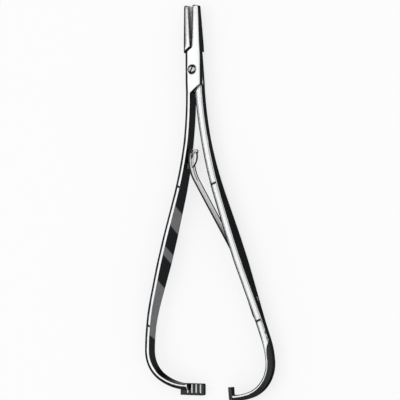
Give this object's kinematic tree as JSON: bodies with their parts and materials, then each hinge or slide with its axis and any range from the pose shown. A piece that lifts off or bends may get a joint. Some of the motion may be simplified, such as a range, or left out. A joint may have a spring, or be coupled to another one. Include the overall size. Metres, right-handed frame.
{
  "type": "surgical needle holder",
  "caption": "Spring-handled surgical needle holder with a screwed lap joint, serrated jaws and a ratchet at the tails.",
  "frame": {"origin": "pivot axis of the screw at the back face of the lap joint", "axes": "+Y towards the tips of the jaws, +Z along the pivot axis towards the slotted head of the screw, +X towards the handle that carries the leaf spring"},
  "size_m": [0.0738, 0.2005, 0.0112],
  "materials": {
    "instrument_steel": "satin",
    "spring_steel": "polished"
  },
  "bodies": {
    "front_frame": {"front_half": "instrument_steel", "spring_hook": "instrument_steel"},
    "back_frame": {"back_half": "instrument_steel", "pivot_screw": "instrument_steel", "leaf_spring": "spring_steel", "spring_rivet": "instrument_steel"}
  },
  "joints": [
    {"name": "pivot", "type": "hinge", "parent": "front_frame", "child": "back_frame", "pos_m": [0, 0, 0], "axis": [0, 0, 1], "range_deg": [-4.4, 0], "stiffness_Nm_per_rad": 1.5, "deforming": ["leaf_spring"]}
  ]
}
